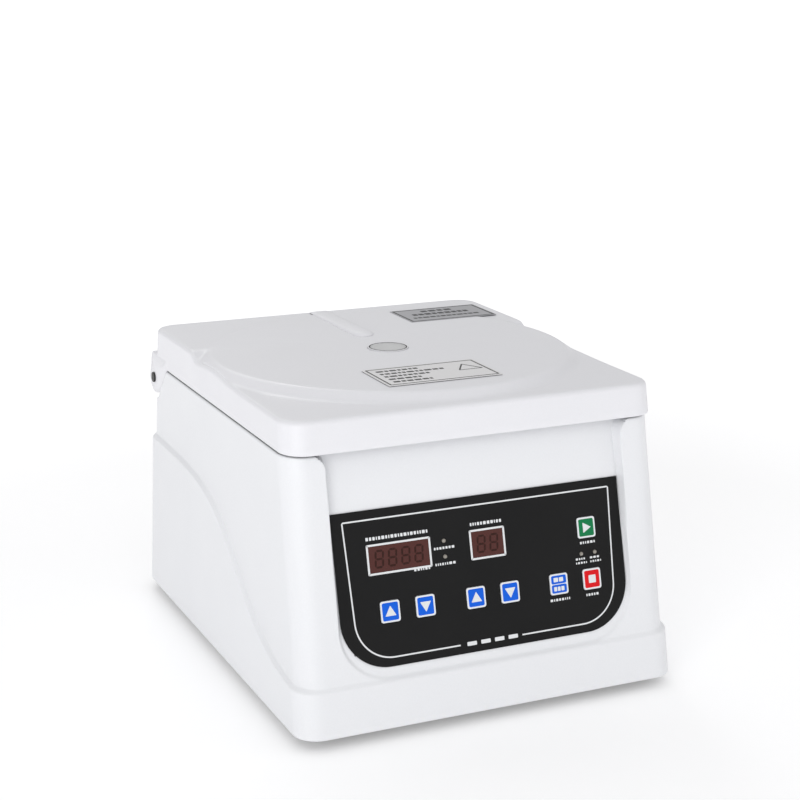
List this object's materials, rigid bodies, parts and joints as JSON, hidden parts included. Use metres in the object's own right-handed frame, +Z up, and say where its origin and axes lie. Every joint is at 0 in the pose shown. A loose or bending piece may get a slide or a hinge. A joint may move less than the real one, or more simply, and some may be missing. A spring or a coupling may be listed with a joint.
{
  "type": "benchtop centrifuge",
  "caption": "Benchtop centrifuge: hinged lid over a fixed-angle rotor that holds flanged tube sleeves, with a sloping key panel and displays at the front.",
  "frame": {"origin": "on the bench, under the middle of the housing", "axes": "+X to the right of the operator, front towards -Y, +Z up"},
  "size_m": [0.28, 0.349, 0.2193],
  "materials": {
    "housing_abs": "fine moulded texture",
    "lid_abs": "satin moulding",
    "black_steel": "black powder coat",
    "foot_rubber": "moulded rubber",
    "zinc_steel": "zinc plated",
    "bowl_steel": "brushed stainless steel",
    "motor_case": "cast and turned",
    "bearing_steel": "ground steel",
    "armature_copper": "lacquered windings",
    "shaft_steel": "turned steel",
    "rotor_alloy": "dark turned alloy",
    "sleeve_alloy": "dark turned alloy",
    "nut_black": "black finish",
    "pin_black": "black finish",
    "clear_acrylic": "clear acrylic",
    "bezel_grey": "dark moulding",
    "plate_silver": "printed foil",
    "label_white": "printed film",
    "latch_steel": "plated steel",
    "panel_black": "textured film",
    "window_red": "tinted acrylic",
    "display_body": "moulded",
    "lamp_lens": "milky lens",
    "board_green": "solder mask",
    "switch_black": "moulded",
    "key_blue": "printed film",
    "key_red": "printed film",
    "key_green": "printed film",
    "core_steel": "laminated core",
    "rocker_red": "moulded"
  },
  "bodies": {
    "housing": {"body_shell": "housing_abs", "base_plate": "black_steel", "rubber_feet": "foot_rubber", "base_screws": "zinc_steel", "chamber_bowl": "bowl_steel", "guard_ring": "black_steel", "chamber_seal": "foot_rubber", "shaft_boot": "foot_rubber", "motor_housing": "motor_case", "motor_plate": "black_steel", "motor_dampers": "foot_rubber", "motor_bearings": "bearing_steel", "hinge_pins": "pin_black", "latch_housing": "latch_steel", "panel_sheet": "panel_black", "display_window_speed": "window_red", "display_window_time": "window_red", "display_speed": "display_body", "display_time": "display_body", "panel_lamps": "lamp_lens", "control_board": "board_green", "key_switches": "switch_black", "power_board": "board_green", "transformer": "core_steel", "mains_inlet": "switch_black", "rocker_frame": "switch_black"},
    "rotor": {"motor_armature": "armature_copper", "motor_shaft": "shaft_steel", "rotor_dish": "rotor_alloy"},
    "nut": {"rotor_nut": "nut_black"},
    "lid": {"lid_cover": "lid_abs", "lid_liner": "lid_abs", "lid_seal": "foot_rubber", "sight_glass": "clear_acrylic", "sight_bezel": "bezel_grey", "lid_hook": "zinc_steel", "rating_plate": "plate_silver", "safety_label": "label_white"},
    "bolt": {"latch_bolt": "zinc_steel"},
    "fuse_carrier": {"fuse_drawer": "switch_black"},
    "rocker": {"rocker_switch": "rocker_red"},
    "sleeve_1": {"tube_sleeve_1": "sleeve_alloy"},
    "sleeve_2": {"tube_sleeve_2": "sleeve_alloy"},
    "sleeve_3": {"tube_sleeve_3": "sleeve_alloy"},
    "sleeve_4": {"tube_sleeve_4": "sleeve_alloy"},
    "sleeve_5": {"tube_sleeve_5": "sleeve_alloy"},
    "sleeve_6": {"tube_sleeve_6": "sleeve_alloy"},
    "sleeve_7": {"tube_sleeve_7": "sleeve_alloy"},
    "sleeve_8": {"tube_sleeve_8": "sleeve_alloy"},
    "key_speed_up_cap": {"key_speed_up": "key_blue"},
    "key_speed_down_cap": {"key_speed_down": "key_blue"},
    "key_time_up_cap": {"key_time_up": "key_blue"},
    "key_time_down_cap": {"key_time_down": "key_blue"},
    "key_mode_cap": {"key_mode": "key_blue"},
    "key_stop_cap": {"key_stop": "key_red"},
    "key_start_cap": {"key_start": "key_green"}
  },
  "joints": [
    {"name": "lid_hinge", "type": "hinge", "parent": "housing", "child": "lid", "pos_m": [0, 0.14885, 0.1763], "axis": [-1, 0, 0], "range_deg": [0, 90]},
    {"name": "rotor_spin", "type": "hinge", "parent": "housing", "child": "rotor", "pos_m": [0, 0.008, 0.14602], "axis": [0, 0, 1], "continuous": true},
    {"name": "nut_turn", "type": "hinge", "parent": "rotor", "child": "nut", "pos_m": [0, 0.008, 0.14602], "axis": [0, 0, 1], "range_deg": [0, 360]},
    {"name": "sleeve_1_lift", "type": "slide", "parent": "rotor", "child": "sleeve_1", "axis": [-0.6157, 0, 0.788], "range_m": [0, 0.01]},
    {"name": "sleeve_2_lift", "type": "slide", "parent": "rotor", "child": "sleeve_2", "axis": [-0.4353, -0.4353, 0.788], "range_m": [0, 0.01]},
    {"name": "sleeve_3_lift", "type": "slide", "parent": "rotor", "child": "sleeve_3", "axis": [0, -0.6157, 0.788], "range_m": [0, 0.01]},
    {"name": "sleeve_4_lift", "type": "slide", "parent": "rotor", "child": "sleeve_4", "axis": [0.4353, -0.4353, 0.788], "range_m": [0, 0.01]},
    {"name": "sleeve_5_lift", "type": "slide", "parent": "rotor", "child": "sleeve_5", "axis": [0.6157, 0, 0.788], "range_m": [0, 0.01]},
    {"name": "sleeve_6_lift", "type": "slide", "parent": "rotor", "child": "sleeve_6", "axis": [0.4353, 0.4353, 0.788], "range_m": [0, 0.01]},
    {"name": "sleeve_7_lift", "type": "slide", "parent": "rotor", "child": "sleeve_7", "axis": [0, 0.6157, 0.788], "range_m": [0, 0.01]},
    {"name": "sleeve_8_lift", "type": "slide", "parent": "rotor", "child": "sleeve_8", "axis": [-0.4353, 0.4353, 0.788], "range_m": [0, 0.01]},
    {"name": "latch_slide", "type": "slide", "parent": "housing", "child": "bolt", "axis": [-1, 0, 0], "range_m": [0, 0.009], "stiffness_N_per_m": 150},
    {"name": "press_speed_up", "type": "slide", "parent": "housing", "child": "key_speed_up_cap", "axis": [0, 0.9714, -0.2374], "range_m": [0, 0.0004], "stiffness_N_per_m": 600},
    {"name": "press_speed_down", "type": "slide", "parent": "housing", "child": "key_speed_down_cap", "axis": [0, 0.9714, -0.2374], "range_m": [0, 0.0004], "stiffness_N_per_m": 600},
    {"name": "press_time_up", "type": "slide", "parent": "housing", "child": "key_time_up_cap", "axis": [0, 0.9714, -0.2374], "range_m": [0, 0.0004], "stiffness_N_per_m": 600},
    {"name": "press_time_down", "type": "slide", "parent": "housing", "child": "key_time_down_cap", "axis": [0, 0.9714, -0.2374], "range_m": [0, 0.0004], "stiffness_N_per_m": 600},
    {"name": "press_mode", "type": "slide", "parent": "housing", "child": "key_mode_cap", "axis": [0, 0.9714, -0.2374], "range_m": [0, 0.0004], "stiffness_N_per_m": 600},
    {"name": "press_stop", "type": "slide", "parent": "housing", "child": "key_stop_cap", "axis": [0, 0.9714, -0.2374], "range_m": [0, 0.0004], "stiffness_N_per_m": 600},
    {"name": "press_start", "type": "slide", "parent": "housing", "child": "key_start_cap", "axis": [0, 0.9714, -0.2374], "range_m": [0, 0.0004], "stiffness_N_per_m": 600},
    {"name": "fuse_pull", "type": "slide", "parent": "housing", "child": "fuse_carrier", "axis": [0, 0.9938, 0.1113], "range_m": [0, 0.012]},
    {"name": "rocker_tilt", "type": "hinge", "parent": "housing", "child": "rocker", "pos_m": [0.036, 0.16903, 0.04789], "axis": [-1, 0, 0], "range_deg": [0, 14]}
  ]
}
